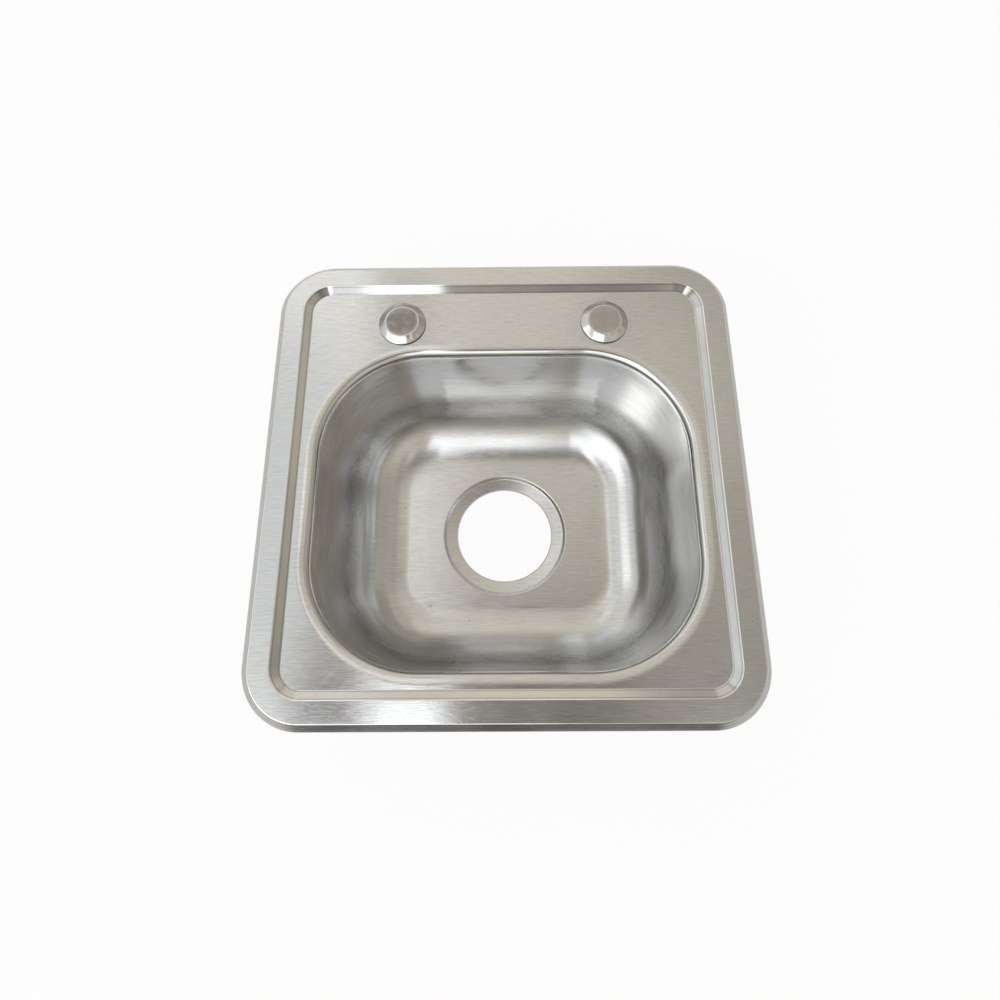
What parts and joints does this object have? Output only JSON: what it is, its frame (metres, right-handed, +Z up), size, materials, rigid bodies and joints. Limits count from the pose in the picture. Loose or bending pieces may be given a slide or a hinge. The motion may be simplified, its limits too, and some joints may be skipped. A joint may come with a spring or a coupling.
{
  "type": "utility sink",
  "caption": "Square drop-in stainless utility sink with a raised rim, one deep rounded bowl, an open drain hole, covered tap holes and clips that clamp it to a worktop.",
  "frame": {"origin": "centre of the outline on the worktop's upper face, which the rim's foam strip rests on", "axes": "+Z up out of the bowl and along the drain hole's axis, +Y towards the tap ledge, +X to the right"},
  "size_m": [0.38, 0.38, 0.1273],
  "materials": {
    "brushed_steel": "stainless sheet with a brushed grain along the deck",
    "chrome": "polished",
    "gasket_foam": "closed-cell foam",
    "damping_pad": "matt",
    "seal_rubber": "matt",
    "bracket_steel": "plain rolled stainless sheet",
    "plated_steel": "zinc plated, pressed",
    "screw_steel": "zinc plated, machined",
    "nut_zinc": "die-cast zinc"
  },
  "bodies": {
    "sink": {"deck": "brushed_steel", "bowl": "brushed_steel", "rim_gasket": "gasket_foam", "sound_pad_left": "damping_pad", "sound_pad_right": "damping_pad", "cap_left": "chrome", "cap_seal_left": "seal_rubber", "cap_right": "chrome", "cap_seal_right": "seal_rubber", "clip_bracket_right_front": "bracket_steel", "clip_bracket_right_back": "bracket_steel", "clip_bracket_back_right": "bracket_steel", "clip_bracket_back_left": "bracket_steel", "clip_bracket_left_back": "bracket_steel", "clip_bracket_left_front": "bracket_steel", "clip_bracket_front_left": "bracket_steel", "clip_bracket_front_right": "bracket_steel"},
    "clamp_plate_left": {"clamp_plate_left": "plated_steel"},
    "wing_nut_left": {"wing_nut_left": "nut_zinc"},
    "clamp_plate_right": {"clamp_plate_right": "plated_steel"},
    "wing_nut_right": {"wing_nut_right": "nut_zinc"},
    "clip_washer_right_front": {"clip_washer_right_front": "plated_steel"},
    "clip_screw_right_front": {"clip_screw_right_front": "screw_steel"},
    "clip_claw_right_front": {"clip_claw_right_front": "plated_steel"},
    "clip_washer_right_back": {"clip_washer_right_back": "plated_steel"},
    "clip_screw_right_back": {"clip_screw_right_back": "screw_steel"},
    "clip_claw_right_back": {"clip_claw_right_back": "plated_steel"},
    "clip_washer_back_right": {"clip_washer_back_right": "plated_steel"},
    "clip_screw_back_right": {"clip_screw_back_right": "screw_steel"},
    "clip_claw_back_right": {"clip_claw_back_right": "plated_steel"},
    "clip_washer_back_left": {"clip_washer_back_left": "plated_steel"},
    "clip_screw_back_left": {"clip_screw_back_left": "screw_steel"},
    "clip_claw_back_left": {"clip_claw_back_left": "plated_steel"},
    "clip_washer_left_back": {"clip_washer_left_back": "plated_steel"},
    "clip_screw_left_back": {"clip_screw_left_back": "screw_steel"},
    "clip_claw_left_back": {"clip_claw_left_back": "plated_steel"},
    "clip_washer_left_front": {"clip_washer_left_front": "plated_steel"},
    "clip_screw_left_front": {"clip_screw_left_front": "screw_steel"},
    "clip_claw_left_front": {"clip_claw_left_front": "plated_steel"},
    "clip_washer_front_left": {"clip_washer_front_left": "plated_steel"},
    "clip_screw_front_left": {"clip_screw_front_left": "screw_steel"},
    "clip_claw_front_left": {"clip_claw_front_left": "plated_steel"},
    "clip_washer_front_right": {"clip_washer_front_right": "plated_steel"},
    "clip_screw_front_right": {"clip_screw_front_right": "screw_steel"},
    "clip_claw_front_right": {"clip_claw_front_right": "plated_steel"}
  },
  "joints": [
    {"name": "cover_release_left", "type": "slide", "parent": "sink", "child": "clamp_plate_left", "axis": [0, 0, -1], "range_m": [0, 0.014]},
    {"name": "wing_nut_turn_left", "type": "hinge", "parent": "clamp_plate_left", "child": "wing_nut_left", "pos_m": [-0.085, 0.13268, 0.00276], "axis": [0, 0, -1], "range_deg": [0, 5040]},
    {"name": "cover_release_right", "type": "slide", "parent": "sink", "child": "clamp_plate_right", "axis": [0, 0, -1], "range_m": [0, 0.014]},
    {"name": "wing_nut_turn_right", "type": "hinge", "parent": "clamp_plate_right", "child": "wing_nut_right", "pos_m": [0.085, 0.13268, 0.00276], "axis": [0, 0, -1], "range_deg": [0, 5040]},
    {"name": "clip_lift_right_front", "type": "slide", "parent": "sink", "child": "clip_washer_right_front", "axis": [0, 0, 1], "range_m": [0, 0.022]},
    {"name": "clip_turn_right_front", "type": "hinge", "parent": "clip_washer_right_front", "child": "clip_screw_right_front", "pos_m": [0.166, -0.118, -0.057], "axis": [0, 0, 1], "range_deg": [0, 9900]},
    {"name": "clip_swing_right_front", "type": "hinge", "parent": "clip_washer_right_front", "child": "clip_claw_right_front", "pos_m": [0.166, -0.118, -0.057], "axis": [0, 0, 1], "range_deg": [0, 90]},
    {"name": "clip_lift_right_back", "type": "slide", "parent": "sink", "child": "clip_washer_right_back", "axis": [0, 0, 1], "range_m": [0, 0.022]},
    {"name": "clip_turn_right_back", "type": "hinge", "parent": "clip_washer_right_back", "child": "clip_screw_right_back", "pos_m": [0.166, 0.118, -0.057], "axis": [0, 0, 1], "range_deg": [0, 9900]},
    {"name": "clip_swing_right_back", "type": "hinge", "parent": "clip_washer_right_back", "child": "clip_claw_right_back", "pos_m": [0.166, 0.118, -0.057], "axis": [0, 0, 1], "range_deg": [0, 90]},
    {"name": "clip_lift_back_right", "type": "slide", "parent": "sink", "child": "clip_washer_back_right", "axis": [0, 0, 1], "range_m": [0, 0.022]},
    {"name": "clip_turn_back_right", "type": "hinge", "parent": "clip_washer_back_right", "child": "clip_screw_back_right", "pos_m": [0.118, 0.166, -0.057], "axis": [0, 0, 1], "range_deg": [0, 9900]},
    {"name": "clip_swing_back_right", "type": "hinge", "parent": "clip_washer_back_right", "child": "clip_claw_back_right", "pos_m": [0.118, 0.166, -0.057], "axis": [0, 0, 1], "range_deg": [0, 90]},
    {"name": "clip_lift_back_left", "type": "slide", "parent": "sink", "child": "clip_washer_back_left", "axis": [0, 0, 1], "range_m": [0, 0.022]},
    {"name": "clip_turn_back_left", "type": "hinge", "parent": "clip_washer_back_left", "child": "clip_screw_back_left", "pos_m": [-0.118, 0.166, -0.057], "axis": [0, 0, 1], "range_deg": [0, 9900]},
    {"name": "clip_swing_back_left", "type": "hinge", "parent": "clip_washer_back_left", "child": "clip_claw_back_left", "pos_m": [-0.118, 0.166, -0.057], "axis": [0, 0, 1], "range_deg": [0, 90]},
    {"name": "clip_lift_left_back", "type": "slide", "parent": "sink", "child": "clip_washer_left_back", "axis": [0, 0, 1], "range_m": [0, 0.022]},
    {"name": "clip_turn_left_back", "type": "hinge", "parent": "clip_washer_left_back", "child": "clip_screw_left_back", "pos_m": [-0.166, 0.118, -0.057], "axis": [0, 0, 1], "range_deg": [0, 9900]},
    {"name": "clip_swing_left_back", "type": "hinge", "parent": "clip_washer_left_back", "child": "clip_claw_left_back", "pos_m": [-0.166, 0.118, -0.057], "axis": [0, 0, 1], "range_deg": [0, 90]},
    {"name": "clip_lift_left_front", "type": "slide", "parent": "sink", "child": "clip_washer_left_front", "axis": [0, 0, 1], "range_m": [0, 0.022]},
    {"name": "clip_turn_left_front", "type": "hinge", "parent": "clip_washer_left_front", "child": "clip_screw_left_front", "pos_m": [-0.166, -0.118, -0.057], "axis": [0, 0, 1], "range_deg": [0, 9900]},
    {"name": "clip_swing_left_front", "type": "hinge", "parent": "clip_washer_left_front", "child": "clip_claw_left_front", "pos_m": [-0.166, -0.118, -0.057], "axis": [0, 0, 1], "range_deg": [0, 90]},
    {"name": "clip_lift_front_left", "type": "slide", "parent": "sink", "child": "clip_washer_front_left", "axis": [0, 0, 1], "range_m": [0, 0.022]},
    {"name": "clip_turn_front_left", "type": "hinge", "parent": "clip_washer_front_left", "child": "clip_screw_front_left", "pos_m": [-0.118, -0.166, -0.057], "axis": [0, 0, 1], "range_deg": [0, 9900]},
    {"name": "clip_swing_front_left", "type": "hinge", "parent": "clip_washer_front_left", "child": "clip_claw_front_left", "pos_m": [-0.118, -0.166, -0.057], "axis": [0, 0, 1], "range_deg": [0, 90]},
    {"name": "clip_lift_front_right", "type": "slide", "parent": "sink", "child": "clip_washer_front_right", "axis": [0, 0, 1], "range_m": [0, 0.022]},
    {"name": "clip_turn_front_right", "type": "hinge", "parent": "clip_washer_front_right", "child": "clip_screw_front_right", "pos_m": [0.118, -0.166, -0.057], "axis": [0, 0, 1], "range_deg": [0, 9900]},
    {"name": "clip_swing_front_right", "type": "hinge", "parent": "clip_washer_front_right", "child": "clip_claw_front_right", "pos_m": [0.118, -0.166, -0.057], "axis": [0, 0, 1], "range_deg": [0, 90]}
  ],
  "couplings": [
    {"joint": "wing_nut_turn_left", "follows": "cover_release_left", "rad_per_m": 6283.2},
    {"joint": "wing_nut_turn_right", "follows": "cover_release_right", "rad_per_m": 6283.2},
    {"joint": "clip_turn_right_front", "follows": "clip_lift_right_front", "rad_per_m": 7854},
    {"joint": "clip_turn_right_back", "follows": "clip_lift_right_back", "rad_per_m": 7854},
    {"joint": "clip_turn_back_right", "follows": "clip_lift_back_right", "rad_per_m": 7854},
    {"joint": "clip_turn_back_left", "follows": "clip_lift_back_left", "rad_per_m": 7854},
    {"joint": "clip_turn_left_back", "follows": "clip_lift_left_back", "rad_per_m": 7854},
    {"joint": "clip_turn_left_front", "follows": "clip_lift_left_front", "rad_per_m": 7854},
    {"joint": "clip_turn_front_left", "follows": "clip_lift_front_left", "rad_per_m": 7854},
    {"joint": "clip_turn_front_right", "follows": "clip_lift_front_right", "rad_per_m": 7854}
  ]
}
